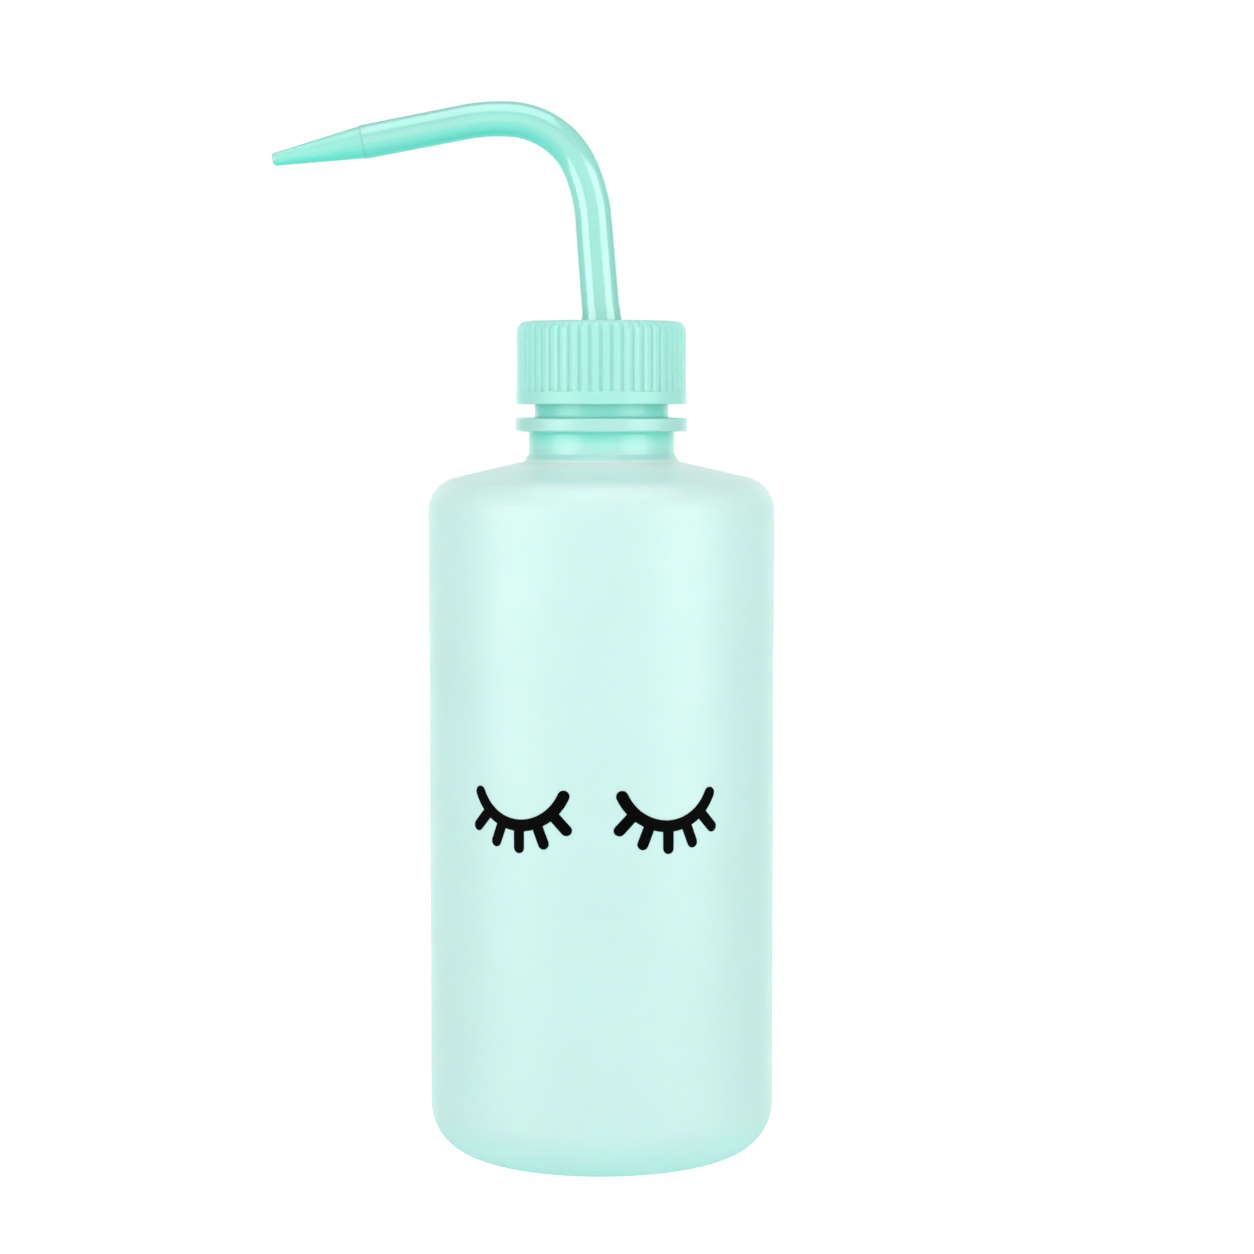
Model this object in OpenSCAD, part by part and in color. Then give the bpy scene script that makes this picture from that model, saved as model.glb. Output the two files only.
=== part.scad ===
// Squeeze wash bottle, 250 mL class, with a swivelling goose-neck spout.
//
// Frame: origin at the centre of the base plane, +Z up along the bottle's axis.
// The spout points towards -X and the printed face looks towards -Y.
// All lengths are in millimetres and all angles in degrees.

/* [Body] */
// Outside diameter of the body
body_d = 60; // [58:0.5:64]
// Wall thickness of the blow-moulded body
wall = 1.1; // [0.8:0.1:1.5]
// Radius of the corner between the side and the base
base_corner_r = 8.65; // [6:0.05:9]
// Inside radius of the flat foot ring
foot_ring_r = 17; // [14:0.5:19]
// Height of the pushed-up middle of the base
push_up = 2; // [1:0.1:3]
// Radius of the corner between the side and the shoulder
shoulder_corner_r = 6; // [4:0.5:8]
// Slope of the shoulder
shoulder_slope = 13; // [10:0.5:16]
// Height where the shoulder meets the foot of the neck
shoulder_z = 120.75; // [115:0.05:124]

/* [Neck] */
// Bore of the neck
neck_bore_d = 20; // [19.5:0.1:20.4]
// Outside diameter of the neck below the support ring
lower_neck_d = 25.2; // [24:0.1:26]
// Diameter of the bead where the neck rises from the shoulder
neck_foot_d = 26.6; // [26.2:0.1:28]
// Height of the neck from the shoulder to the support ring
lower_neck_h = 5.25; // [4:0.05:7]
// Outside diameter of the support ring
support_ring_d = 29.7; // [28:0.1:31]
// Thickness of the support ring
support_ring_h = 2.3; // [1.5:0.1:3]
// Outside diameter of the threaded neck at the root of the thread
thread_root_d = 23.1; // [22.8:0.1:23.2]
// Height of the neck above the support ring
thread_neck_h = 13.4; // [13:0.1:15]

/* [Closure] */
// Rise of the thread in one turn
thread_pitch = 4; // [3.6:0.1:4.4]
// Outside diameter of the cap over its plain band
cap_d = 29.5; // [29:0.1:31]
// Height of the cap
cap_h = 14.3; // [14:0.1:15]
// Gap between the support ring and the cap
cap_gap = 2.4; // [2:0.1:3]
// Number of grip ribs around the cap
rib_count = 50; // [36:2:60]
// Height of a grip rib above the groove beside it
rib_depth = 0.4; // [0.3:0.05:0.6]
// Height of the plain band under the ribs
band_h = 2.2; // [1.5:0.1:3]
// Radius of the cap's top corner
cap_corner_r = 1.8; // [1:0.1:2.2]
// Thickness of the sealing liner
liner_t = 0.8; // [0.5:0.1:1]
// Thickness of the plug's flange, which the cap clamps on the neck's rim
flange_t = 1.2; // [1:0.1:1.4]

/* [Spout] */
// Radius of the spout's tube just above the cap
tube_base_r = 3.38; // [3.34:0.02:3.44]
// Radius of the tube around the bend
tube_bend_r = 3.1; // [3.1:0.02:3.24]
// Radius of the tube where the nozzle begins
tube_end_r = 2.98; // [2.9:0.02:3.02]
// Radius of the tube's bore
tube_bore_r = 1.9; // [1.7:0.05:2]
// Lean of the upright run away from the vertical
spout_lean = 4.5; // [0:0.5:8]
// Length of the upright run
upright_l = 16.7; // [12:0.1:25]
// Length of the outgoing run, from the bend to the nozzle
outgoing_l = 17.65; // [12:0.05:25]
// Length of the tapered nozzle
nozzle_l = 16; // [12:0.5:20]
// Outside radius of the nozzle's end
nozzle_end_r = 1.08; // [1:0.02:1.4]
// Radius of the outlet hole
outlet_r = 0.65; // [0.5:0.05:0.75]

/* [Print] */
// Radius of the curve that stands for a closed eyelid
lid_r = 8.6; // [7:0.1:9]
// Half of the angle that the curve spans
lid_half_angle = 66.5; // [55:0.5:75]
// Width of the printed curve
lid_w = 2; // [1.2:0.1:2.2]
// Number of lashes under each curve
lash_count = 5; // [3:1:7]
// Angle between neighbouring lashes
lash_step = 21.2; // [16:0.2:26]
// How far each lash reaches beyond the curve
lash_l = 4.7; // [3:0.1:5]
// Width of a lash
lash_w = 1.9; // [1.2:0.1:2]
// Height of the centre that the curves are drawn around
lid_centre_z = 69.2; // [50:0.2:90]
// Angle around the body from the front to each printed eyelid
lid_azimuth = 24.6; // [22:0.2:30]
// Turn of the whole print around the body
print_turn = -2.4; // [-10:0.2:10]

/* [Hidden] */
$fn = 96;

body_colour = [0.82, 0.94, 0.92];
cap_colour = [0.64, 0.91, 0.86];
spout_colour = [0.66, 0.92, 0.87];
liner_colour = [0.95, 0.96, 0.95];
tube_colour = [0.93, 0.97, 0.96];
ink_colour = [0.03, 0.03, 0.03];

// A cutter passes this far beyond the face that it opens.
past = 1;
// Thickness of the ink, and points in each quarter of a rounded profile.
ink_t = 0.05;
arc_n = 10;

// Heights along the bottle's axis.
neck_foot_top = shoulder_z + 1.35;
ring_z = shoulder_z + lower_neck_h;
ring_top = ring_z + support_ring_h;
neck_top = ring_top + thread_neck_h;
cap_z = ring_top + cap_gap;
band_top = cap_z + band_h;
cap_top = cap_z + cap_h;
flange_top = neck_top + flange_t;
liner_top = flange_top + liner_t;

// Fits: the radial play of a turning or sliding fit, and of a pushed-in one.
running_gap = 0.06;
push_gap = 0.02;

// Closure. The band stands proud of the ribs by rib_inset.
rib_inset = 0.14;
cap_bore_r = 12.85;
cap_hole_r = 3.5;
thread_depth = 1;
thread_turns = 1.5;
thread_z = ring_top + 6;
thread_steps = 24;
// The cap's thread runs this far below the neck's and bears up against it.
thread_offset = 1.5;
flange_r = 12.2;
skirt_l = 9;
skirt_t = 1.2;
plug_plate_t = 1.6;
hub_l = 7.2;
hub_r = 5.2;

// Spout: the stem is the round journal that turns in the plug's hub.
stem_r = 3.3;
stem_z = cap_z - 3.7;
socket_r = 2.2;
socket_l = 9;
collar_r = 3.55;
flare_r = 3.62;
lean_r = 10;
// The bend, as [radius of the centreline, angle] for each of its stretches.
bend = [[28, 18], [14.2, 64], [32, 14.5]];
// How far each run of tube starts inside the one before it, and the steps by
// which its outside and its bore are thinner.
lap = 0.3;
step = 0.03;
bore_step = 0.01;
spigot_l = 5;

// Dip tube.
dip_r = socket_r - push_gap;
dip_bore_r = 1.5;
dip_clearance = 2.4;
dip_cut_angle = 30;

// Points of an arc about [x, y], from angle a0 to a1.
function arc(x, y, r, a0, a1, n = arc_n) =
    [for (i = [0:n]) let (a = a0 + (a1 - a0) * i / n) [x + r * cos(a), y + r * sin(a)]];

// ---------------------------------------------------------------- bottle

// Corner between the side and the shoulder, given at one radius for both skins.
function shoulder_corner(r) =
    let (body_r = body_d / 2,
         cx = body_r - shoulder_corner_r,
         tangent_x = cx + shoulder_corner_r * sin(shoulder_slope),
         tangent_z = shoulder_z - (tangent_x - neck_foot_d / 2) * tan(shoulder_slope),
         cz = tangent_z - shoulder_corner_r * cos(shoulder_slope))
    arc(cx, cz, r, 0, 90 - shoulder_slope);

// Shallow dome of the base, at a given distance above its underside.
function base_dome(offset) =
    let (dome_r = (pow(foot_ring_r, 2) + pow(push_up, 2)) / (2 * push_up),
         edge = asin(foot_ring_r / dome_r))
    arc(0, push_up - dome_r, dome_r + offset, 90, 90 - edge, 6);

function ring_profile(edge = 0.4) =
    let (r = support_ring_d / 2 - edge)
    concat(arc(r, ring_z + edge, edge, -90, 0, 4), arc(r, ring_top - edge, edge, 0, 90, 4));

function bottle_outside() = concat(
    base_dome(0),
    arc(body_d / 2 - base_corner_r, base_corner_r, base_corner_r, -90, 0),
    shoulder_corner(shoulder_corner_r),
    [[neck_foot_d / 2, shoulder_z], [neck_foot_d / 2, shoulder_z + 0.1],
     [lower_neck_d / 2, neck_foot_top], [lower_neck_d / 2, ring_z - 0.3], [lower_neck_d / 2 + 0.3, ring_z]],
    ring_profile(),
    [[thread_root_d / 2 + 0.4, ring_top], [thread_root_d / 2, ring_top + 0.4],
     [thread_root_d / 2, neck_top - 0.3], [thread_root_d / 2 - 0.3, neck_top]]);

function bottle_inside() =
    let (corner_r = base_corner_r - wall,
         corner = shoulder_corner(shoulder_corner_r - wall),
         last = corner[len(corner) - 1],
         throat_r = neck_bore_d / 2 + 0.8,
         throat_z = last[1] + (last[0] - throat_r) * tan(shoulder_slope))
    concat(
        base_dome(wall),
        arc(body_d / 2 - base_corner_r, base_corner_r, corner_r, -90, 0),
        corner,
        [[throat_r, throat_z], [neck_bore_d / 2, throat_z + 1],
         [neck_bore_d / 2, neck_top - 0.2], [neck_bore_d / 2 + 0.2, neck_top]]);

function reversed(list) = [for (i = [len(list) - 1:-1:0]) list[i]];

// A helical thread: a four-sided profile swept up the helix. It starts and ends
// below the wall's surface, so it fades in and out. side is 1 for a thread that
// stands outwards and -1 for one that stands inwards.
module thread(surface_r, side, start_z, turns, root_half_w, crest_half_w, fade_turns = 0.12) {
    steps = round(turns * thread_steps);
    sunk = 0.4;
    flank = (root_half_w - crest_half_w) / thread_depth;
    rings = [for (i = [0:steps])
        let (turn = i / thread_steps,
             rise = min(1, turn / fade_turns, (turns - turn) / fade_turns),
             depth = thread_depth * rise - 0.2 * (1 - rise),
             angle = 360 * turn,
             z = start_z + thread_pitch * turn,
             inner = [surface_r - side * sunk, root_half_w + flank * sunk],
             outer = [surface_r + side * depth, root_half_w - flank * depth])
        for (p = [[inner[0], z - inner[1]], [outer[0], z - outer[1]],
                  [outer[0], z + outer[1]], [inner[0], z + inner[1]]])
            [p[0] * cos(angle), p[0] * sin(angle), p[1]]];
    sides = [for (i = [0:steps - 1], k = [0:3])
        let (a = 4 * i + k, b = 4 * i + (k + 1) % 4)
        for (t = [[b, a + 4, a], [b + 4, a + 4, b]]) side > 0 ? t : reversed(t)];
    last = 4 * steps;
    ends = [for (t = [[2, 1, 0], [3, 2, 0], [last + 1, last + 2, last], [last + 2, last + 3, last]])
        side > 0 ? t : reversed(t)];
    polyhedron(rings, concat(sides, ends));
}

module bottle() {
    color(body_colour) {
        rotate_extrude() polygon(concat(bottle_outside(), reversed(bottle_inside())));
        thread(thread_root_d / 2, 1, thread_z, thread_turns, root_half_w = 1, crest_half_w = 0.5);
    }
}

// ---------------------------------------------------------------- closure

// Outline of the ribbed part of the cap, seen from above.
module rib_outline() {
    tip_r = cap_d / 2 - rib_inset;
    pitch = 360 / rib_count;
    polygon([for (i = [0:rib_count - 1])
        for (p = [[tip_r - rib_depth, -0.33], [tip_r, -0.27], [tip_r, 0.27], [tip_r - rib_depth, 0.33]])
            let (a = (i + p[1]) * pitch) [p[0] * cos(a), p[0] * sin(a)]]);
}

module screw_cap() {
    edge = 0.25;
    lead_in = 0.4;
    color(cap_colour) {
        difference() {
            union() {
                rotate_extrude() polygon([[0, cap_z], [cap_d / 2 - edge, cap_z], [cap_d / 2, cap_z + edge],
                                          [cap_d / 2, band_top], [0, band_top]]);
                intersection() {
                    translate([0, 0, band_top]) linear_extrude(cap_top - band_top) rib_outline();
                    rotate_extrude() polygon(concat(
                        [[0, band_top - past], [cap_d / 2 + past, band_top - past],
                         [cap_d / 2 + past, cap_top - cap_corner_r]],
                        arc(cap_d / 2 - cap_corner_r, cap_top - cap_corner_r, cap_corner_r, 0, 90, 6),
                        [[0, cap_top]]));
                }
            }
            translate([0, 0, cap_z - past]) cylinder(h = liner_top - cap_z + past, r = cap_bore_r);
            translate([0, 0, cap_z]) cylinder(h = lead_in, r1 = cap_bore_r + lead_in, r2 = cap_bore_r);
            cylinder(h = cap_top + past, r = cap_hole_r);
        }
        thread(cap_bore_r, -1, thread_z - thread_offset, thread_turns - 0.25,
               root_half_w = 0.8, crest_half_w = 0.4);
    }
}

module cap_liner() {
    color(liner_colour) difference() {
        translate([0, 0, flange_top]) cylinder(h = liner_t, r = flange_r);
        translate([0, 0, flange_top - past]) cylinder(h = liner_t + 2 * past, r = cap_hole_r);
    }
}

// The plug's plate and flange sit on the neck's rim. Its skirt seals in the
// neck's bore, and its hub is the bearing that the spout's stem turns in.
module neck_plug() {
    skirt_r = neck_bore_d / 2 - running_gap;
    plate_z = flange_top - plug_plate_t;
    skirt_z = neck_top - skirt_l;
    hub_z = plate_z - hub_l;
    bearing_r = stem_r + running_gap;
    chamfer = 0.6;
    color(cap_colour) rotate_extrude() polygon([
        [bearing_r, hub_z], [hub_r - chamfer, hub_z], [hub_r, hub_z + chamfer], [hub_r, plate_z],
        [skirt_r - skirt_t, plate_z], [skirt_r - skirt_t, skirt_z], [skirt_r - chamfer, skirt_z],
        [skirt_r, skirt_z + 2 * chamfer], [skirt_r, neck_top], [flange_r, neck_top],
        [flange_r, flange_top], [bearing_r, flange_top]]);
}

// ---------------------------------------------------------------- spout

// The tube is a row of runs: bends and straight, tapering lengths. Each run is a
// step thinner than the one before and starts a lap inside it. Each is given as
// [bend radius or 0, angle or length, start radius, end radius].
RUNS = [
    [lean_r, spout_lean, tube_base_r, tube_base_r],
    [0, upright_l, tube_base_r - step, tube_bend_r + 2 * step],
    [bend[0][0], bend[0][1], tube_bend_r + step, tube_bend_r + step],
    [bend[1][0], bend[1][1], tube_bend_r, tube_bend_r],
    [bend[2][0], bend[2][1], tube_bend_r - step, tube_bend_r - step],
    [0, outgoing_l, tube_bend_r - 2 * step, tube_end_r]
];

// Where run i starts, as [x, z, heading]; a heading of 90 is straight up.
function run_start(i) = i == 0 ? [0, cap_top, 90]
    : let (s = run_start(i - 1), r = RUNS[i - 1][0], size = RUNS[i - 1][1], turned = s[2] + size)
      r == 0 ? [s[0] + size * cos(s[2]), s[1] + size * sin(s[2]), s[2]]
             : [s[0] + r * (sin(turned) - sin(s[2])), s[1] - r * (cos(turned) - cos(s[2])), turned];

// Radius of the tube's bore in run i.
function bore_at(i) = tube_bore_r - bore_step * i;

// Carries a shape drawn along +Z to the start of run i.
module at_run(i) {
    s = run_start(i);
    translate([s[0], 0, s[1]]) rotate([0, 90 - s[2], 0]) children();
}

// Run i as a solid rod from radius r1 to r2. A bend keeps radius r1.
module rod(i, r1, r2) {
    bend_r = RUNS[i][0];
    heading = run_start(i)[2];
    if (bend_r > 0) {
        lap_angle = lap / bend_r * 180 / PI;
        at_run(i) translate([-bend_r, 0, 0]) rotate([90, 0, 0]) rotate([0, 0, -lap_angle])
            rotate_extrude(angle = RUNS[i][1] + lap_angle) translate([bend_r, 0]) circle(r = r1);
    } else {
        at_run(i) translate([0, 0, -lap]) cylinder(h = RUNS[i][1] + lap, r1 = r1, r2 = r2);
    }
}

module delivery_spout() {
    hub_z = flange_top - plug_plate_t - hub_l;
    collar_h = 1.4;
    last = len(RUNS) - 1;
    color(spout_colour) difference() {
        union() {
            translate([0, 0, stem_z]) cylinder(h = cap_top + lap - stem_z, r = stem_r);
            // Snap collar under the plug's hub.
            translate([0, 0, hub_z - 0.1 - collar_h]) rotate_extrude() polygon([
                [0, 0], [stem_r - 0.1, 0], [collar_r, collar_h / 2], [collar_r, collar_h], [0, collar_h]]);
            // Flare that stands on top of the cap and hides its hole.
            translate([0, 0, cap_top + 0.1]) rotate_extrude() polygon([
                [0, 0], [flare_r, 0], [flare_r, 0.2], [flare_r - 0.6, 2.8], [0, 2.8]]);
            for (i = [0:last]) rod(i, RUNS[i][2], RUNS[i][3]);
        }
        translate([0, 0, stem_z - past]) cylinder(h = socket_l + past, r = socket_r);
        translate([0, 0, stem_z]) cylinder(h = cap_top + lap - stem_z, r = bore_at(-1));
        for (i = [0:last]) rod(i, bore_at(i), bore_at(i));
        at_run(last) cylinder(h = outgoing_l + past, r = bore_at(last));
    }
}

module nozzle_tip() {
    base_r = tube_end_r - 0.1;
    spigot_r = bore_at(len(RUNS) - 1) - push_gap;
    land = 4;
    end_edge = 0.3;
    end_x = nozzle_end_r - end_edge;
    color(spout_colour) at_run(len(RUNS)) rotate_extrude() polygon([
        [1.3, -spigot_l], [spigot_r - 0.2, -spigot_l], [spigot_r, 0.4 - spigot_l], [spigot_r, 0],
        [base_r, 0], [end_x + end_edge, nozzle_l - end_edge],
        [end_x + 0.7 * end_edge, nozzle_l - 0.3 * end_edge], [end_x, nozzle_l],
        [outlet_r, nozzle_l], [outlet_r, nozzle_l - land]]);
}

module dip_tube() {
    bottom = push_up + wall + dip_clearance;
    top = stem_z + socket_l;
    color(tube_colour) difference() {
        translate([0, 0, bottom]) cylinder(h = top - bottom, r = dip_r);
        translate([0, 0, bottom - past]) cylinder(h = top - bottom + 2 * past, r = dip_bore_r);
        // The slanted cut that keeps the end from sealing on the base.
        translate([-dip_r, 0, bottom]) rotate([0, -dip_cut_angle, 0])
            translate([-past, -2 * dip_r, -4 * dip_r]) cube([6 * dip_r, 4 * dip_r, 4 * dip_r]);
    }
}

// ---------------------------------------------------------------- print

// Outline of a stroke with round ends from radius r0 to r1, along angle a.
module radial_stroke(r0, r1, w, a) {
    rotate(a) polygon(concat(arc(r1, 0, w / 2, -90, 90, 8), arc(r0, 0, w / 2, 90, 270, 8)));
}

// A generic closed eye: a plain curve and evenly spaced lashes below it.
module closed_eye() {
    from = -90 - lid_half_angle;
    to = -90 + lid_half_angle;
    polygon(concat(
        arc(0, 0, lid_r + lid_w / 2, from, to, 24),
        arc(lid_r * cos(to), lid_r * sin(to), lid_w / 2, to, to + 180, 8),
        arc(0, 0, lid_r - lid_w / 2, to, from, 24),
        arc(lid_r * cos(from), lid_r * sin(from), lid_w / 2, from + 180, from + 360, 8)));
    middle = (lash_count - 1) / 2;
    for (i = [0:lash_count - 1])
        radial_stroke(lid_r, lid_r + lash_l - lash_w / 2, lash_w, -90 + (i - middle) * lash_step);
}

// A film of ink on the body, in the shape of one closed eye.
module eyelash_print(azimuth) {
    body_r = body_d / 2;
    reach = lid_r + lash_l + 2;
    color(ink_colour) intersection() {
        rotate([0, 0, azimuth]) translate([0, 0, lid_centre_z]) rotate([90, 0, 0])
            linear_extrude(body_r + past) closed_eye();
        translate([0, 0, lid_centre_z - reach]) difference() {
            cylinder(h = 2 * reach, r = body_r + ink_t);
            translate([0, 0, -past]) cylinder(h = 2 * reach + 2 * past, r = body_r);
        }
    }
}

module eyelash_print_left() eyelash_print(print_turn - lid_azimuth);
module eyelash_print_right() eyelash_print(print_turn + lid_azimuth);

bottle();
screw_cap();
cap_liner();
neck_plug();
delivery_spout();
nozzle_tip();
dip_tube();
eyelash_print_left();
eyelash_print_right();
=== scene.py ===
"""Looks of the wash bottle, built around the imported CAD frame. Lengths are in mm until a mesh is made."""
import math

import bpy
import numpy as np
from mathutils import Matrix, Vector


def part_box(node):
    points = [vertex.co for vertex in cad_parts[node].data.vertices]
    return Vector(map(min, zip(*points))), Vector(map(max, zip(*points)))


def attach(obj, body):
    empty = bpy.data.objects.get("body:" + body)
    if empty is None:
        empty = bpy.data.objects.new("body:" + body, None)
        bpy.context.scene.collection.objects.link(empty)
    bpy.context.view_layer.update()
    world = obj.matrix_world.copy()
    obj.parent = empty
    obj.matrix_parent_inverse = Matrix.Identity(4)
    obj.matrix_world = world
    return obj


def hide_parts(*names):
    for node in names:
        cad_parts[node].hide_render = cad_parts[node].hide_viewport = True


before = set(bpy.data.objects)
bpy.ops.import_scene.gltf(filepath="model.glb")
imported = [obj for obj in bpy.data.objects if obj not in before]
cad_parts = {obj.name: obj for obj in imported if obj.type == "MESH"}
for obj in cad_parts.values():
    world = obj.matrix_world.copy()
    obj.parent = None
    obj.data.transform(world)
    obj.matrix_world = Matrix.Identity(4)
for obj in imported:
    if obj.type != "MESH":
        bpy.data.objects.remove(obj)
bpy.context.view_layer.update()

MM = 0.001


def box_mm(node):
    """Lowest and highest corner of a CAD node, in millimetres."""
    low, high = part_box(node)
    return np.array(low) / MM, np.array(high) / MM


# Driving sizes, read from the CAD frame.
BODY_R, _, NECK_TOP = box_mm("bottle")[1]
CAP_R, _, CAP_TOP = box_mm("screw_cap")[1]
CAP_Z = box_mm("screw_cap")[0][2]
LINER_TOP = box_mm("cap_liner")[1][2]
STEM_Z = box_mm("delivery_spout")[0][2]

# Bottle, as in the CAD source.
WALL = 1.1
BASE_CORNER_R = 8.65
FOOT_RING_R = 17
PUSH_UP = 2
SHOULDER_CORNER_R = 6
SHOULDER_SLOPE = math.radians(13)
SHOULDER_Z = 120.75
NECK_BORE_R = 10
LOWER_NECK_R = 12.6
NECK_FOOT_R = 13.3
NECK_FOOT_TOP = SHOULDER_Z + 1.35
RING_R = 14.85
RING_Z = SHOULDER_Z + 5.25
RING_TOP = RING_Z + 2.3
THREAD_ROOT_R = 11.55

# Closure.
THREAD_PITCH = 4
THREAD_DEPTH = 1
THREAD_TURNS = 1.5
THREAD_Z = RING_TOP + 6
THREAD_OFFSET = 1.5
RIB_COUNT = 50
RIB_DEPTH = 0.4
RIB_INSET = 0.14
BAND_H = 2.2
CAP_CORNER_R = 1.8
CAP_BORE_R = 12.85
CAP_HOLE_R = 3.5

# Spout: the bend's stretches are (centreline radius, angle in degrees).
LEAN_R = 10
LEAN = 4.5
UPRIGHT_L = 16.7
BEND = ((28, 18), (14.2, 64), (32, 14.5))
OUTGOING_L = 17.65
STEM_R = 3.3
SOCKET_R = 2.2
SOCKET_L = 9
TUBE_BORE_R = 1.88
COLLAR_R = 3.55
COLLAR_Z = 132.6
FLARE_R = 3.62
TUBE_BASE_R = 3.38
TUBE_END_R = 2.98
NOZZLE_L = 16
NOZZLE_BASE_R = 2.88
NOZZLE_END_R = 1.08
OUTLET_R = 0.65
SPIGOT_L = 5

# Tints of the plastics, from the body up the neck to the spout, with painted shade and a painted highlight
# among them.
BODY_TINT = (0.65, 0.87, 0.83)
# Painted highlight: the neck's foot bead is made lighter than the body.
FOOT_PAINTED_HIGHLIGHT = (0.8, 0.88, 0.86)
RING_TINT = (0.45, 0.8, 0.73)
LOWER_NECK_TINT = (0.44, 0.88, 0.8)
# Painted shade: the neck just under the support ring is given a deeper tint.
UNDER_RING_PAINTED_SHADE = (0.2, 0.8, 0.68)
# Painted shade: the neck between the ring and the cap is given a deeper tint, as in the gap under the cap.
UPPER_NECK_PAINTED_SHADE = (0.32, 0.92, 0.82)
CAP_TINT = (0.42, 0.82, 0.74)
SPOUT_TINT = (0.34, 0.79, 0.69)
# Painted shade: deeper tints for the downward faces of the spout and the nozzle.
SPOUT_UNDERSIDE_SHADE = (0.07, 0.69, 0.57)
NOZZLE_UNDERSIDE_SHADE = (0.13, 0.74, 0.62)

# Roughness in the middle of each plastic's uneven gloss. In denoised renders, one that ran from 0.23 to 0.31
# drew patches on the cap, and ranges that stay on one side of 0.27 drew none.
BODY_ROUGHNESS = 0.42
NECK_ROUGHNESS = 0.32
CAP_ROUGHNESS = 0.38
SPOUT_ROUGHNESS = 0.21
NOZZLE_ROUGHNESS = 0.19

# Light of the studio from below, from the table, the walls and the ceiling, and the colours of its lamps.
BELOW_GLOW = (0.55, 0.95, 0.9)
TABLE_GLOW = (0.5, 0.64, 0.61)
WALL_GLOW = (0.3, 0.35, 0.34)
CEILING_GLOW = (0.36, 0.42, 0.41)
KEY_COLOUR = (1.0, 0.9, 0.9)
FILL_COLOUR = (1.0, 0.82, 0.86)


# ---------------------------------------------------------------- meshes

def mesh_object(name, points, faces, sharp_deg):
    """A smooth-shaded object whose edges sharper than sharp_deg stay crisp. Points are in millimetres."""
    mesh = bpy.data.meshes.new(name)
    mesh.from_pydata(np.asarray(points) * MM, [], faces)
    mesh.update()
    mesh.shade_smooth()
    mesh.set_sharp_from_angle(angle=math.radians(sharp_deg))
    obj = bpy.data.objects.new(name, mesh)
    bpy.context.scene.collection.objects.link(obj)
    return obj


def grid_faces(rows, columns, closed_rows):
    """Quads of a grid whose columns wrap round, and whose rows do too if closed_rows is true."""
    faces = []
    for i in range(rows if closed_rows else rows - 1):
        a, b = i * columns, (i + 1) % rows * columns
        for j in range(columns):
            k = (j + 1) % columns
            faces.append((a + j, a + k, b + k, b + j))
    return faces


def lathe(name, profile, angles, shift=None, sharp_deg=35):
    """Turns a profile of (r, z) about Z: a loop, outside then inside, with the solid on its left.
    Where it starts and ends on the axis it gets poles, or else it closes on itself.
    shift(r, z, row, angle) gives each point's new r and z."""
    profile = np.array(profile, float)
    on_axis = profile[0, 0] < 1e-6
    if on_axis:
        poles = profile[[0, -1]]
        profile = profile[1:-1]
    rows, columns = len(profile), len(angles)
    r = np.repeat(profile[:, :1], columns, axis=1)
    z = np.repeat(profile[:, 1:], columns, axis=1)
    angle = np.repeat(np.array(angles)[None, :], rows, axis=0)
    if shift:
        r, z = shift(r, z, np.arange(rows)[:, None], angle)
    points = np.stack([r * np.cos(angle), r * np.sin(angle), z], axis=2).reshape(-1, 3)
    faces = grid_faces(rows, columns, not on_axis)
    if on_axis:
        first, last = len(points), len(points) + 1
        points = np.vstack([points, [[0, 0, poles[0, 1]], [0, 0, poles[1, 1]]]])
        end = (rows - 1) * columns
        for j in range(columns):
            k = (j + 1) % columns
            faces.append((first, k, j))
            faces.append((last, end + j, end + k))
    return mesh_object(name, points, faces, sharp_deg)


def arc(x, y, r, start, end, count):
    """Points of an arc about (x, y), with its angles in degrees."""
    return [(x + r * math.cos(math.radians(a)), y + r * math.sin(math.radians(a)))
            for a in np.linspace(start, end, count + 1)]


def line(start, end, count):
    """Points from start up to but not including end."""
    return [tuple(p) for p in np.linspace(start, end, count, endpoint=False)]


def smooth(x):
    """0 below 0, 1 above 1 and a smooth rise between."""
    x = np.clip(x, 0, 1)
    return x * x * (3 - 2 * x)


def thread_height(z, angle, start_z, turns, crest_half_w, root_half_w):
    """Height of a helical thread above its wall, with faded ends."""
    fade_turns = 0.12
    height = np.zeros_like(z)
    for lap in range(math.ceil(turns)):
        turn = angle / (2 * math.pi) + lap
        fade = smooth(np.minimum(turn, turns - turn) / fade_turns)
        away = np.abs(z - start_z - THREAD_PITCH * turn)
        body = 1 - smooth((away - crest_half_w) / (root_half_w - crest_half_w))
        height = np.maximum(height, THREAD_DEPTH * fade * body)
    return height


# ---------------------------------------------------------------- bottle

def dome(offset, count):
    """The pushed-up middle of the base, from the axis to the foot ring."""
    dome_r = (FOOT_RING_R ** 2 + PUSH_UP ** 2) / (2 * PUSH_UP)
    edge = math.degrees(math.asin(FOOT_RING_R / dome_r))
    points = arc(0, PUSH_UP - dome_r, dome_r + offset, 90, 90 - edge, count)
    points[0] = (0, PUSH_UP + offset)
    return points


def shoulder_corner(r, count):
    cx = BODY_R - SHOULDER_CORNER_R
    tangent_x = cx + SHOULDER_CORNER_R * math.sin(SHOULDER_SLOPE)
    tangent_z = SHOULDER_Z - (tangent_x - NECK_FOOT_R) * math.tan(SHOULDER_SLOPE)
    cz = tangent_z - SHOULDER_CORNER_R * math.cos(SHOULDER_SLOPE)
    return arc(cx, cz, r, 0, 90 - math.degrees(SHOULDER_SLOPE), count)


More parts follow.
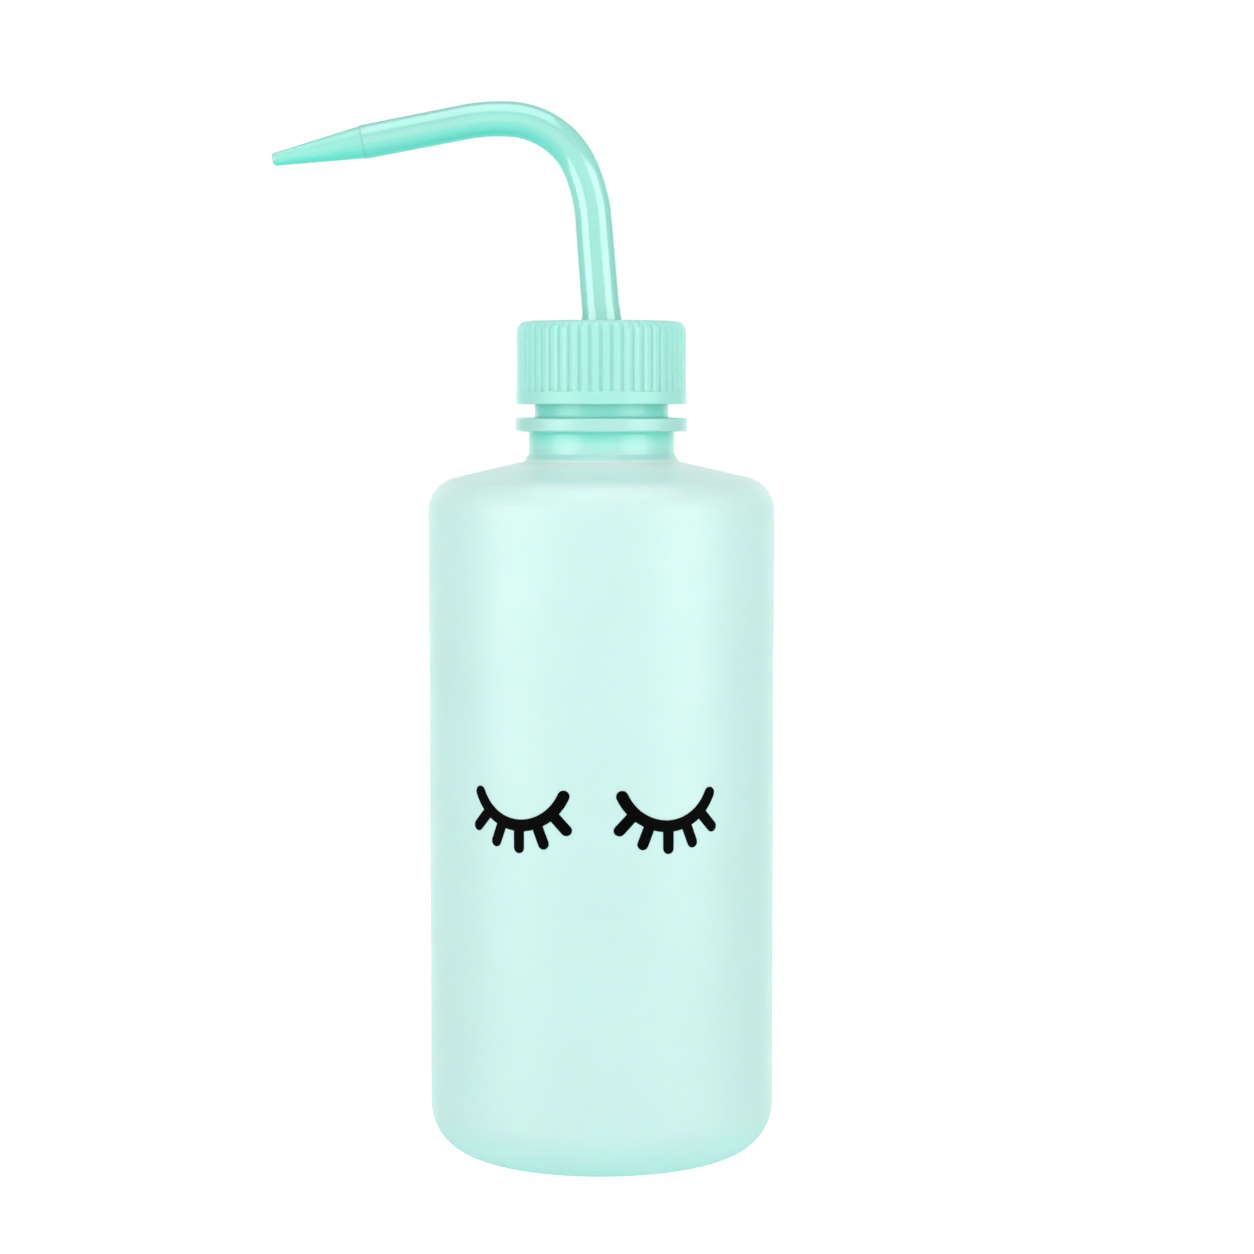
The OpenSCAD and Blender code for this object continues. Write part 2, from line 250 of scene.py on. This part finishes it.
def bottle_profile():
    """The bottle's section, from the middle of its base up the outside and back down the inside."""
    thread_low, thread_high = THREAD_Z - 2, NECK_TOP - 0.6
    corner = shoulder_corner(SHOULDER_CORNER_R, 18)
    inner = shoulder_corner(SHOULDER_CORNER_R - WALL, 10)
    throat_r = NECK_BORE_R + 0.8
    throat_z = inner[-1][1] + (inner[-1][0] - throat_r) * math.tan(SHOULDER_SLOPE)
    cx = BODY_R - BASE_CORNER_R
    outside = (
        dome(0, 16)[:-1] + arc(FOOT_RING_R + 0.5, 0.5, 0.5, 200, 270, 4)
        + line((FOOT_RING_R + 1, 0), (cx, 0), 3)
        + arc(cx, BASE_CORNER_R, BASE_CORNER_R, -90, 0, 28)[:-1]
        + line((BODY_R, BASE_CORNER_R), corner[0], 26)
        + corner[:-1]
        + line(corner[-1], (NECK_FOOT_R + 0.2, SHOULDER_Z - 0.05), 12)
        + [(NECK_FOOT_R + 0.2, SHOULDER_Z - 0.05), (NECK_FOOT_R + 0.07, SHOULDER_Z + 0.01),
           (NECK_FOOT_R + 0.02, SHOULDER_Z + 0.1), (NECK_FOOT_R - 0.02, SHOULDER_Z + 0.22)]
        + line((NECK_FOOT_R - 0.09, SHOULDER_Z + 0.4), (LOWER_NECK_R + 0.12, NECK_FOOT_TOP - 0.2), 6)
        + arc(LOWER_NECK_R + 0.25, NECK_FOOT_TOP + 0.1, 0.25, 215, 180, 3)
        + line((LOWER_NECK_R, NECK_FOOT_TOP + 0.3), (LOWER_NECK_R, RING_Z - 0.5), 6)
        + arc(LOWER_NECK_R + 0.45, RING_Z - 0.45, 0.45, 180, 90, 5)
        + line((LOWER_NECK_R + 0.6, RING_Z), (RING_R - 0.4, RING_Z), 4)
        + arc(RING_R - 0.4, RING_Z + 0.4, 0.4, -90, 0, 7)
        + line((RING_R, RING_Z + 0.5), (RING_R, RING_TOP - 0.32), 4)
        + arc(RING_R - 0.3, RING_TOP - 0.3, 0.3, 0, 90, 6)
        + line((RING_R - 0.45, RING_TOP), (THREAD_ROOT_R + 0.5, RING_TOP), 5)
        + arc(THREAD_ROOT_R + 0.45, RING_TOP + 0.45, 0.45, 270, 180, 5)
        + line((THREAD_ROOT_R, RING_TOP + 0.6), (THREAD_ROOT_R, thread_low), 5)
        + line((THREAD_ROOT_R, thread_low), (THREAD_ROOT_R, thread_high), 50)
        + arc(THREAD_ROOT_R - 0.3, NECK_TOP - 0.3, 0.3, 0, 90, 5)
    )
    inside = (
        arc(NECK_BORE_R + 0.2, NECK_TOP - 0.2, 0.2, 90, 180, 4)
        + line((NECK_BORE_R, NECK_TOP - 0.4), (NECK_BORE_R, throat_z + 1.2), 12)
        + arc(NECK_BORE_R + 1.5, throat_z + 1.2, 1.5, 180, 235, 4)
        + [(throat_r + 0.4, throat_z - 0.1)]
        + line((throat_r + 1, throat_z - 1 * math.tan(SHOULDER_SLOPE)), inner[-1], 6)
        + inner[::-1]
        + line((BODY_R - WALL, inner[0][1] - 2), (BODY_R - WALL, BASE_CORNER_R), 20)
        + arc(cx, BASE_CORNER_R, BASE_CORNER_R - WALL, 0, -90, 14)
        + dome(WALL, 12)[::-1]
    )
    return outside + inside, len(outside)


def bottle_angles():
    """Even columns, with closer ones where the mould's halves meet at +X and -X."""
    even = np.arange(0, 360, 1.5)
    seam = [side + d for side in (0, 180) for d in (-0.75, -0.5, -0.25, 0.25, 0.5, 0.75)]
    return np.radians(np.sort(np.concatenate([even, np.mod(seam, 360)])))


def make_bottle():
    """The blow-moulded bottle: threaded neck, parting line and the pinched seam of its base."""
    profile, outside_rows = bottle_profile()
    seam_h, seam_half_w = 0.03, 0.3
    pinch_h, pinch_half_w, pinch_reach = 0.3, 0.5, 13.5

    def shift(r, z, row, angle):
        outside = row < outside_rows - 1
        thread_zone = outside & (z > THREAD_Z - 2.2) & (z < NECK_TOP - 0.4)
        height = thread_height(z, angle, THREAD_Z, THREAD_TURNS, 0.5, 1.0)
        across = np.abs(r * np.sin(angle))
        seam = seam_h * (1 - smooth(across / seam_half_w))
        side = outside & (z > 1.5) & (z < SHOULDER_Z)
        under = outside & (r < FOOT_RING_R) & (z < PUSH_UP + 0.5)
        pinch = pinch_h * (1 - smooth(across / pinch_half_w)) * smooth((pinch_reach - r) / 1.5)
        new_r = r + np.where(thread_zone, height, 0) + np.where(side, seam, 0)
        return new_r, z - np.where(under, pinch, 0)

    return lathe("bottle_shell", profile, bottle_angles(), shift, sharp_deg=40)


# ---------------------------------------------------------------- closure

def make_cap():
    """The screw cap: soft grip ribs that run out over its top corner, a plain band and an inside thread."""
    band_top = CAP_Z + BAND_H
    rib_r = CAP_R - RIB_INSET
    corner_z = CAP_TOP - CAP_CORNER_R
    corner_x = rib_r - CAP_CORNER_R
    top_edge = 0.25
    hole_edge = 0.3
    band = (
        arc(CAP_R - 0.25, CAP_Z + 0.25, 0.25, -90, 0, 5)
        + line((CAP_R, CAP_Z + 0.4), (CAP_R, band_top - 0.12), 3)
        + arc(CAP_R - 0.12, band_top - 0.12, 0.12, 0, 90, 3)
    )
    ribbed = [(rib_r, band_top + 0.02), (rib_r, band_top + 0.2)]
    ribbed += line((rib_r, band_top + 0.5), (rib_r, corner_z), 12)
    ribbed += arc(corner_x, corner_z, CAP_CORNER_R, 0, 90, 16)
    top = (
        line((corner_x - top_edge, CAP_TOP), (CAP_HOLE_R + hole_edge, CAP_TOP), 14)
        + arc(CAP_HOLE_R + hole_edge, CAP_TOP - hole_edge, hole_edge, 90, 180, 5)
        + [(CAP_HOLE_R, LINER_TOP + 0.1), (CAP_HOLE_R + 0.1, LINER_TOP)]
    )
    bore = (
        line((CAP_HOLE_R + 1, LINER_TOP), (CAP_BORE_R - 0.3, LINER_TOP), 5)
        + arc(CAP_BORE_R - 0.3, LINER_TOP - 0.3, 0.3, 90, 0, 3)
        + line((CAP_BORE_R, LINER_TOP - 0.6), (CAP_BORE_R, CAP_Z + 0.5), 56)
        + [(CAP_BORE_R, CAP_Z + 0.5), (CAP_BORE_R + 0.4, CAP_Z)]
        + line((CAP_BORE_R + 0.6, CAP_Z), (CAP_R - 0.3, CAP_Z), 2)
    )
    first_rib, first_top = len(band), len(band) + len(ribbed)
    first_bore = first_top + len(top)
    # Columns across one pitch, closer where a rib's flank rises. 0 is the middle of a rib.
    pitch = np.array([0, 0.2, 0.25, 0.29, 0.33, 0.38, 0.44, 0.5, 0.56, 0.62, 0.67, 0.71, 0.75, 0.8])
    angles = np.concatenate([(i + pitch) for i in range(RIB_COUNT)]) * 2 * math.pi / RIB_COUNT

    def shift(r, z, row, angle):
        across = np.abs(np.mod(angle * RIB_COUNT / (2 * math.pi) + 0.5, 1) - 0.5)
        groove = smooth((across - 0.22) / 0.17)
        turn = np.clip(np.arctan2(z - corner_z, np.maximum(r - corner_x, 1e-9)), 0, math.pi / 2)
        run_out = 1 - smooth((np.degrees(turn) - 15) / 60)
        depth = np.where((row >= first_rib) & (row < first_top), RIB_DEPTH * groove * run_out, 0)
        thread = thread_height(z, angle, THREAD_Z - THREAD_OFFSET, THREAD_TURNS - 0.25, 0.4, 0.8)
        sunk = np.where((row >= first_top) & (row < first_bore), 0.06 * smooth((corner_x - r) / 4), 0)
        new_r = r - depth * np.cos(turn) - np.where(row >= first_bore + 8, thread, 0)
        return new_r, z - depth * np.sin(turn) - sunk

    return lathe("screw_cap_shell", band + ribbed + top + bore, angles, shift, sharp_deg=50)


# ---------------------------------------------------------------- spout

def spout_path():
    """Samples of the spout's centreline, as (length, x, z, heading), and the lengths where its runs start."""
    x, z, heading = 0.0, CAP_TOP, math.pi / 2
    samples, length, marks = [(0.0, x, z, heading)], 0.0, []
    runs = [(LEAN_R, LEAN), (0, UPRIGHT_L), *BEND, (0, OUTGOING_L)]
    for bend_r, size in runs:
        marks.append(length)
        turn = math.radians(size) if bend_r else 0.0
        run_l = bend_r * turn if bend_r else size
        count = max(4, round(run_l / (0.35 if bend_r else 0.8)))
        for t in np.linspace(0, 1, count + 1)[1:]:
            if bend_r:
                h = heading + t * turn
                px = x + bend_r * (math.sin(h) - math.sin(heading))
                pz = z - bend_r * (math.cos(h) - math.cos(heading))
            else:
                h = heading
                px, pz = x + t * run_l * math.cos(h), z + t * run_l * math.sin(h)
            samples.append((length + t * run_l, px, pz, h))
        x, z, heading = samples[-1][1:]
        length += run_l
    return samples, marks


def sweep(name, rings, sides, sharp_deg=35):
    """A closed skin through rings of (x, z, heading, radius) in the XZ plane. The last joins the first."""
    turn = np.arange(sides) * 2 * math.pi / sides
    points = []
    for x, z, heading, r in rings:
        across = np.array([-math.sin(heading), 0, math.cos(heading)])
        points += [np.array([x, 0, z]) + r * (across * math.cos(a) + np.array([0, 1, 0]) * math.sin(a))
                   for a in turn]
    return mesh_object(name, points, grid_faces(len(rings), sides, True), sharp_deg)


def make_spout():
    """The goose-neck: a hollow tube that thins evenly from the cap to the nozzle, with a round stem below."""
    samples, marks = spout_path()
    length = samples[-1][0]
    knots = [0, marks[2] - 2, marks[2] + 4, marks[3] + 4, marks[4] + 6, length]
    radii = [TUBE_BASE_R, 3.3, 3.21, 3.12, 3.06, TUBE_END_R]
    up = math.pi / 2
    stem = [(0, STEM_Z, up, SOCKET_R + 0.1), (0, STEM_Z, up, STEM_R - 0.15), (0, STEM_Z + 0.15, up, STEM_R)]
    collar = ((0, STEM_R), (0.7, COLLAR_R), (1.25, COLLAR_R), (1.4, COLLAR_R - 0.15), (1.42, STEM_R))
    stem += [(0, COLLAR_Z + dz, up, r) for dz, r in collar]
    flare = ((0.02, STEM_R), (0.1, STEM_R + 0.02), (0.11, FLARE_R - 0.08), (0.18, FLARE_R), (0.32, FLARE_R),
             (0.6, FLARE_R - 0.06), (1.0, FLARE_R - 0.12), (1.4, FLARE_R - 0.17), (1.9, FLARE_R - 0.21))
    outside = list(stem)
    for s, x, z, h in samples:
        r = float(np.interp(s, knots, radii))
        if s > flare[-1][0]:
            outside.append((x, z, h, r))
    flare_rings = []
    for s, r in flare:
        lean = s / LEAN_R if s < LEAN_R * math.radians(LEAN) else math.radians(LEAN)
        flare_rings.append((-LEAN_R * (1 - math.cos(lean)), CAP_TOP + s, up + lean, r))
    outside = stem + flare_rings + outside[len(stem):]
    x, z, h = samples[-1][1:]
    last = outside.pop()
    back = 0.03
    outside.append((x - back * math.cos(h), z - back * math.sin(h), h, last[3]))
    outside.append((x, z, h, last[3] - back))
    inside = [(x, z, h, TUBE_BORE_R) for s, x, z, h in reversed(samples)]
    socket_top = STEM_Z + SOCKET_L
    inside += [(0, socket_top + 0.02, up, TUBE_BORE_R), (0, socket_top, up, SOCKET_R)]
    inside.append((0, STEM_Z + 0.1, up, SOCKET_R))
    return sweep("spout_tube", outside + inside, 64)


def make_nozzle():
    """The tapered end of the spout, a hair thinner than the tube where it starts."""
    samples, _ = spout_path()
    x, z, h = samples[-1][1:]
    edge = 0.05
    along = [(-SPIGOT_L, 1.3), (-SPIGOT_L, TUBE_BORE_R - 0.2), (0.4 - SPIGOT_L, TUBE_BORE_R - 0.02),
             (0, TUBE_BORE_R - 0.02), (0.0, NOZZLE_BASE_R - edge), (0.04, NOZZLE_BASE_R - 0.03),
             (edge, NOZZLE_BASE_R)]
    for t in np.linspace(0.03, 0.97, 40):
        along.append((t * NOZZLE_L, NOZZLE_BASE_R + (NOZZLE_END_R - NOZZLE_BASE_R) * t))
    end_edge = 0.38
    along += [(NOZZLE_L + p[1], NOZZLE_END_R + p[0]) for p in arc(-end_edge, -end_edge, end_edge, 8, 90, 6)]
    along += [(NOZZLE_L, OUTLET_R + 0.03), (NOZZLE_L - 0.05, OUTLET_R)]
    along += [(NOZZLE_L - 4, OUTLET_R), (NOZZLE_L / 2, 0.95)]
    rings = [(x + s * math.cos(h), z + s * math.sin(h), h, r) for s, r in along]
    return sweep("nozzle_taper", rings, 64)


# ---------------------------------------------------------------- materials

class Nodes:
    """A material's node tree, with short calls for the nodes that the looks here share."""

    def __init__(self, name, colour, roughness, **sockets):
        self.material = bpy.data.materials.new(name)
        self.material.use_nodes = True
        self.tree = self.material.node_tree
        self.shader = self.tree.nodes["Principled BSDF"]
        self.shader.inputs["Base Color"].default_value = (*colour, 1)
        self.shader.inputs["Roughness"].default_value = roughness
        for key, value in sockets.items():
            self.shader.inputs[key.replace("_", " ")].default_value = value

    def add(self, kind, **settings):
        node = self.tree.nodes.new(kind)
        for key, value in settings.items():
            if key in node.inputs:
                node.inputs[key].default_value = value
            else:
                setattr(node, key, value)
        return node

    def link(self, source, target):
        self.tree.links.new(source, target)

    def noise(self, scale, detail=3, roughness=0.5, stretch=(1, 1, 1)):
        """Noise in the object's own space, in metres, finer along the axes that stretch enlarges."""
        coords = self.add("ShaderNodeTexCoord")
        mapping = self.add("ShaderNodeMapping")
        mapping.inputs["Scale"].default_value = stretch
        texture = self.add("ShaderNodeTexNoise", Scale=scale, Detail=detail, Roughness=roughness)
        self.link(coords.outputs["Object"], mapping.inputs["Vector"])
        self.link(mapping.outputs["Vector"], texture.inputs["Vector"])
        return texture.outputs["Fac"]

    def ramp(self, fac, low, high, start=0.3, end=0.7):
        """A colour that runs from low to high as fac runs from start to end."""
        node = self.add("ShaderNodeValToRGB")
        node.color_ramp.elements[0].position = start
        node.color_ramp.elements[1].position = end
        node.color_ramp.elements[0].color = (*low, 1)
        node.color_ramp.elements[1].color = (*high, 1)
        self.link(fac, node.inputs["Fac"])
        return node.outputs["Color"]

    def spread(self, fac, low, high):
        """A number that runs from low to high as fac runs from 0.3 to 0.7."""
        node = self.add("ShaderNodeMapRange")
        node.inputs["From Min"].default_value = 0.3
        node.inputs["From Max"].default_value = 0.7
        node.inputs["To Min"].default_value = low
        node.inputs["To Max"].default_value = high
        self.link(fac, node.inputs["Value"])
        return node.outputs["Result"]

    def bumps(self, *layers):
        """Bump layers of (height, depth in metres, strength), one over the other."""
        below = None
        for height, depth, strength in layers:
            bump = self.add("ShaderNodeBump")
            bump.inputs["Strength"].default_value = strength
            bump.inputs["Distance"].default_value = depth
            self.link(height, bump.inputs["Height"])
            if below:
                self.link(below, bump.inputs["Normal"])
            below = bump.outputs["Normal"]
        self.link(below, self.shader.inputs["Normal"])


def tinted(colour, share):
    """The colour made lighter or darker by a share of itself."""
    return tuple(min(1, c * (1 + share)) for c in colour)


def plastic(name, colour, roughness, grain, grain_depth, streak=None, spread=0.04, **sockets):
    """Moulded plastic: faint colour clouds, uneven gloss and a fine grain, with streaks along streak."""
    m = Nodes(name, colour, roughness, **sockets)
    clouds = m.noise(55, detail=4)
    m.link(m.ramp(clouds, tinted(colour, -0.025), tinted(colour, 0.02)), m.shader.inputs["Base Color"])
    gloss = m.noise(160, detail=3)
    m.link(m.spread(gloss, roughness - spread, roughness + spread), m.shader.inputs["Roughness"])
    layers = [(m.noise(grain, detail=2), grain_depth, 1.0)]
    if streak:
        layers.append((m.noise(900, detail=2, stretch=streak), 0.00002, 1.0))
    m.bumps(*layers)
    return m


def body_plastic():
    """Thin satin polyethylene, glossier up the neck, where it is thicker. Up the neck the tint is deeper,
    partly where the plastic is thicker and partly as painted shade under the ring and under the cap, with a
    painted highlight at the neck's foot.
    """
    m = plastic("body_plastic", BODY_TINT, BODY_ROUGHNESS, 1300, 0.000008, Specular_IOR_Level=1.0,
                Subsurface_Weight=0.3, Subsurface_Scale=0.002)
    coords = m.add("ShaderNodeTexCoord")
    split = m.add("ShaderNodeSeparateXYZ")
    m.link(coords.outputs["Object"], split.inputs["Vector"])
    low, high = 112, 142
    height = m.add("ShaderNodeMapRange")
    height.inputs["From Min"].default_value = low * MM
    height.inputs["From Max"].default_value = high * MM
    m.link(split.outputs["Z"], height.inputs["Value"])
    tint_and_shade = m.add("ShaderNodeValToRGB")
    # Colour stops up the neck: the foot's is a painted highlight, and the ones under the ring and between the
    # ring and the cap are painted shade.
    stops = [(low, BODY_TINT), (SHOULDER_Z - 1.95, BODY_TINT), (SHOULDER_Z - 0.15, FOOT_PAINTED_HIGHLIGHT),
             (SHOULDER_Z + 0.65, RING_TINT), (NECK_FOOT_TOP + 1.5, LOWER_NECK_TINT),
             (RING_Z - 0.3, UNDER_RING_PAINTED_SHADE), (RING_Z + 0.3, RING_TINT), (RING_TOP - 0.2, RING_TINT),
             (RING_TOP + 0.3, UPPER_NECK_PAINTED_SHADE), (RING_TOP + 4.2, UPPER_NECK_PAINTED_SHADE),
             (RING_TOP + 6.2, LOWER_NECK_TINT)]
    ramp = tint_and_shade.color_ramp
    while len(ramp.elements) < len(stops):
        ramp.elements.new(1.0)
    for element, (z, colour) in zip(ramp.elements, stops):
        element.position = (z - low) / (high - low)
        element.color = (*colour, 1)
    m.link(height.outputs["Result"], tint_and_shade.inputs["Fac"])
    clouds = m.ramp(m.noise(55, detail=4), (0.975,) * 3, (1, 1, 1))
    mix = m.add("ShaderNodeMix", data_type="RGBA", blend_type="MULTIPLY")
    mix.inputs["Factor"].default_value = 1
    m.link(tint_and_shade.outputs["Color"], mix.inputs["A"])
    m.link(clouds, mix.inputs["B"])
    m.link(mix.outputs["Result"], m.shader.inputs["Base Color"])
    gloss = m.add("ShaderNodeMapRange")
    gloss.inputs["From Min"].default_value = (SHOULDER_Z - 0.75) * MM
    gloss.inputs["From Max"].default_value = (NECK_FOOT_TOP + 0.4) * MM
    gloss.inputs["To Min"].default_value = BODY_ROUGHNESS
    gloss.inputs["To Max"].default_value = NECK_ROUGHNESS
    m.link(split.outputs["Z"], gloss.inputs["Value"])
    wear = m.add("ShaderNodeMath", operation="MULTIPLY")
    m.link(gloss.outputs["Result"], wear.inputs[0])
    m.link(m.spread(m.noise(160), 0.88, 1.12), wear.inputs[1])
    m.link(wear.outputs["Value"], m.shader.inputs["Roughness"])
    return m.material


def paint_shade_below(m, colour, under):
    """Paints shade on faces that look down: they get the tint under, deeper than the rest of the tube."""
    normal = m.add("ShaderNodeNewGeometry")
    split = m.add("ShaderNodeSeparateXYZ")
    m.link(normal.outputs["Normal"], split.inputs["Vector"])
    fade = m.add("ShaderNodeMapRange", interpolation_type="SMOOTHSTEP")
    fade.inputs["From Min"].default_value = -0.95
    fade.inputs["From Max"].default_value = -0.05
    m.link(split.outputs["Z"], fade.inputs["Value"])
    clouds = m.ramp(m.noise(70, detail=4), tinted(colour, -0.03), tinted(colour, 0.03))
    mix = m.add("ShaderNodeMix", data_type="RGBA")
    mix.inputs["A"].default_value = (*under, 1)
    m.link(fade.outputs["Result"], mix.inputs["Factor"])
    m.link(clouds, mix.inputs["B"])
    m.link(mix.outputs["Result"], m.shader.inputs["Base Color"])


def make_materials():
    """One material for each slot. The cap and nozzle have less gloss, or they burn out edge-on."""
    gloss = {"Specular_IOR_Level": 1.0, "Coat_Weight": 1.0, "Coat_IOR": 1.7, "Subsurface_Weight": 0.4,
             "Subsurface_Scale": 0.0015, "Subsurface_Radius": (0.3, 1.0, 0.9)}
    satin = dict(gloss, Specular_IOR_Level=0.5, Coat_Weight=0.5, Coat_IOR=1.5)
    cap = plastic("cap_plastic", CAP_TINT, CAP_ROUGHNESS, 900, 0.000003, Coat_Roughness=0.35, **satin)
    spout = plastic("spout_plastic", SPOUT_TINT, SPOUT_ROUGHNESS, 900, 0.000003, streak=(1, 1, 0.04),
                    Coat_Roughness=0.15, **gloss)
    # Painted shade on the downward faces of the spout and the nozzle.
    paint_shade_below(spout, SPOUT_TINT, SPOUT_UNDERSIDE_SHADE)
    sleek = dict(gloss, Specular_IOR_Level=0.5, Coat_Weight=0.6, Coat_IOR=1.5)
    nozzle = plastic("nozzle_plastic", SPOUT_TINT, NOZZLE_ROUGHNESS, 900, 0.000002,
                     Coat_Roughness=0.08, **sleek)
    paint_shade_below(nozzle, SPOUT_TINT, NOZZLE_UNDERSIDE_SHADE)
    liner = plastic("liner_foam", (0.86, 0.89, 0.86), 0.75, 3500, 0.00006)
    dip = plastic("dip_tube_plastic", (0.72, 0.86, 0.82), 0.3, 1800, 0.000006, streak=(1, 1, 0.04))
    ink = plastic("print_ink", (0.0012, 0.0012, 0.0013), 0.5, 2400, 0.000005, Specular_IOR_Level=0.03)
    return {"body": body_plastic(), "cap": cap.material, "spout": spout.material, "nozzle": nozzle.material,
            "liner": liner.material, "dip": dip.material, "ink": ink.material}


def dress(obj, material):
    obj.data.materials.clear()
    obj.data.materials.append(material)


# ---------------------------------------------------------------- studio

def place_camera():
    """A long lens at the height of the neck, looking a little down, with the bottle left of the middle."""
    height, distance, aside = 0.1331, 0.5803, 0.00443
    tilt = 4.06
    camera = bpy.data.cameras.new("camera")
    camera.lens = 95.8
    camera.sensor_width = 36
    camera.clip_end = 50
    obj = bpy.data.objects.new("camera", camera)
    bpy.context.scene.collection.objects.link(obj)
    obj.location = (aside, -distance, height)
    obj.rotation_euler = (math.radians(90 - tilt), 0, 0)
    bpy.context.scene.camera = obj


def softbox(name, azimuth, elevation, distance, size, radiance, colour=(1, 1, 1), target=(0, 0, 0.1)):
    """A rectangular light that faces the bottle. Azimuth 0 is the camera's side, and grows rightwards."""
    a, e = math.radians(azimuth), math.radians(elevation)
    away = Vector((math.sin(a) * math.cos(e), -math.cos(a) * math.cos(e), math.sin(e)))
    light = bpy.data.lights.new(name, "AREA")
    light.shape = "RECTANGLE"
    light.size, light.size_y = size
    light.energy = radiance * math.pi * size[0] * size[1]
    light.color = colour
    obj = bpy.data.objects.new(name, light)
    bpy.context.scene.collection.objects.link(obj)
    obj.location = Vector(target) + away * distance
    obj.rotation_euler = away.to_track_quat("Z", "Y").to_euler()
    obj.visible_camera = False


def make_world():
    """White surroundings for the camera. The light that reaches the object is dimmer and mint from below."""
    world = bpy.data.worlds.new("studio")
    bpy.context.scene.world = world
    world.use_nodes = True
    tree = world.node_tree
    tree.nodes.clear()
    out = tree.nodes.new("ShaderNodeOutputWorld")
    mix = tree.nodes.new("ShaderNodeMixShader")
    seen = tree.nodes.new("ShaderNodeBackground")
    fill = tree.nodes.new("ShaderNodeBackground")
    path = tree.nodes.new("ShaderNodeLightPath")
    coords = tree.nodes.new("ShaderNodeTexCoord")
    split = tree.nodes.new("ShaderNodeSeparateXYZ")
    height = tree.nodes.new("ShaderNodeMapRange")
    ramp = tree.nodes.new("ShaderNodeValToRGB")
    height.inputs["From Min"].default_value = -1
    levels = ((0.0, BELOW_GLOW), (0.15, BELOW_GLOW), (0.38, TABLE_GLOW),
              (0.52, WALL_GLOW), (1.0, CEILING_GLOW))
    while len(ramp.color_ramp.elements) < len(levels):
        ramp.color_ramp.elements.new(1.0)
    for element, (position, colour) in zip(ramp.color_ramp.elements, levels):
        element.position = position
        element.color = (*colour, 1)
    tree.links.new(coords.outputs["Generated"], split.inputs["Vector"])
    tree.links.new(split.outputs["Z"], height.inputs["Value"])
    tree.links.new(height.outputs["Result"], ramp.inputs["Fac"])
    tree.links.new(ramp.outputs["Color"], fill.inputs["Color"])
    tree.links.new(path.outputs["Is Camera Ray"], mix.inputs["Fac"])
    tree.links.new(fill.outputs["Background"], mix.inputs[1])
    tree.links.new(seen.outputs["Background"], mix.inputs[2])
    tree.links.new(mix.outputs["Shader"], out.inputs["Surface"])
    seen.inputs["Color"].default_value = (1, 1, 1, 1)


def make_floor():
    """A plain pale floor. It shows to the camera only, so the object is lit by the studio alone."""
    size = 3.0
    mesh = bpy.data.meshes.new("floor")
    corners = [(-size, -size, 0), (size, -size, 0), (size, size, 0), (-size, size, 0)]
    mesh.from_pydata(corners, [], [(0, 1, 2, 3)])
    obj = bpy.data.objects.new("floor", mesh)
    bpy.context.scene.collection.objects.link(obj)
    m = Nodes("floor_white", (0.8, 0.8, 0.8), 0.9)
    m.shader.inputs["Emission Color"].default_value = (1, 1, 1, 1)
    m.shader.inputs["Emission Strength"].default_value = 0.75
    dress(obj, m.material)
    obj.visible_diffuse = False
    obj.visible_glossy = False
    obj.visible_shadow = False


def light_studio():
    make_world()
    make_floor()
    softbox("softbox_left", -57, 8, 0.75, (0.62, 0.62), 2.2, KEY_COLOUR)
    softbox("softbox_right", 56, 8, 0.75, (0.62, 0.62), 2.2, KEY_COLOUR)
    softbox("front_fill", 0, 8, 1.3, (1.4, 1.0), 0.5, FILL_COLOUR)
    softbox("backdrop_glow", 180, 4, 1.2, (2.0, 1.2), 0.85)
    softbox("top_light", 0, 78, 0.9, (0.9, 0.9), 1.15)


# ---------------------------------------------------------------- assembly

def place(obj, body, slot, material, *nodes):
    """Dresses a piece, ties it to its body and hides the CAD nodes that it stands for."""
    dress(obj, material)
    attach(obj, body)
    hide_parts(*nodes)


place_camera()
light_studio()
bpy.context.scene.view_settings.view_transform = "Standard"

materials = make_materials()
place(make_bottle(), "bottle", "body_plastic", materials["body"], "bottle")
place(make_cap(), "cap", "cap_plastic", materials["cap"], "screw_cap")
place(make_spout(), "spout", "spout_plastic", materials["spout"], "delivery_spout")
place(make_nozzle(), "spout", "nozzle_plastic", materials["nozzle"], "nozzle_tip")
dress(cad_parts["cap_liner"], materials["liner"])
dress(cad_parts["neck_plug"], materials["cap"])
dress(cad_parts["dip_tube"], materials["dip"])
dress(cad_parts["eyelash_print_left"], materials["ink"])
dress(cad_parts["eyelash_print_right"], materials["ink"])
